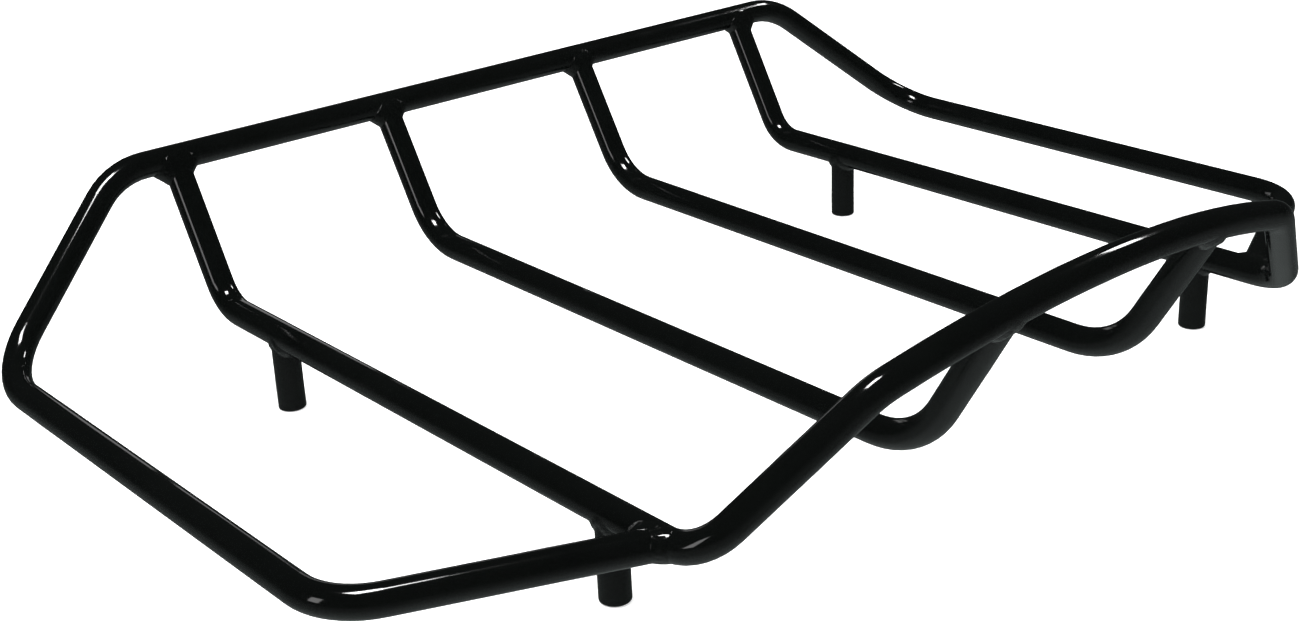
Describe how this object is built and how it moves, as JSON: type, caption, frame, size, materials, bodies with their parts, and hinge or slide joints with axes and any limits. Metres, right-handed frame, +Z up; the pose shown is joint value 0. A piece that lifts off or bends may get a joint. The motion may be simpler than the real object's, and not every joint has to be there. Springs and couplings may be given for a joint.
{
  "type": "luggage rack",
  "caption": "Rigid welded tube luggage rack for a touring trunk lid: raised rear rail, open side runs, lengthwise slats, crowned front hoop and bolt-down posts",
  "frame": {"origin": "centre of the four mounting feet, on the plane that they bolt down to", "axes": "+X across the rack, +Y towards the raised rail, -Y towards the hoop, +Z up from the feet to the slats"},
  "size_m": [0.5878, 0.4176, 0.1135],
  "materials": {
    "gloss_black": "deep gloss black powder coat with a faint orange peel",
    "painted_weld": "gloss black powder coat over a rippled weld bead",
    "zinc_steel": "bright zinc-plated steel with turned faces and a tapped hole"
  },
  "bodies": {
    "root": {"perimeter_tube": "gloss_black", "hoop_tube": "gloss_black", "inner_slat_left": "gloss_black", "inner_slat_right": "gloss_black", "post_front_left": "gloss_black", "post_front_right": "gloss_black", "post_rear_left": "gloss_black", "post_rear_right": "gloss_black", "threaded_plug_front_left": "zinc_steel", "threaded_plug_front_right": "zinc_steel", "threaded_plug_rear_left": "zinc_steel", "threaded_plug_rear_right": "zinc_steel", "weld_rail_outer_left": "painted_weld", "weld_rail_outer_right": "painted_weld", "weld_rail_inner_left": "painted_weld", "weld_rail_inner_right": "painted_weld", "weld_hoop_inner_left": "painted_weld", "weld_hoop_inner_right": "painted_weld", "weld_perimeter_end_left": "painted_weld", "weld_perimeter_end_right": "painted_weld", "weld_post_front_left": "painted_weld", "weld_post_front_right": "painted_weld", "weld_post_rear_left": "painted_weld", "weld_post_rear_right": "painted_weld"}
  },
  "joints": []
}
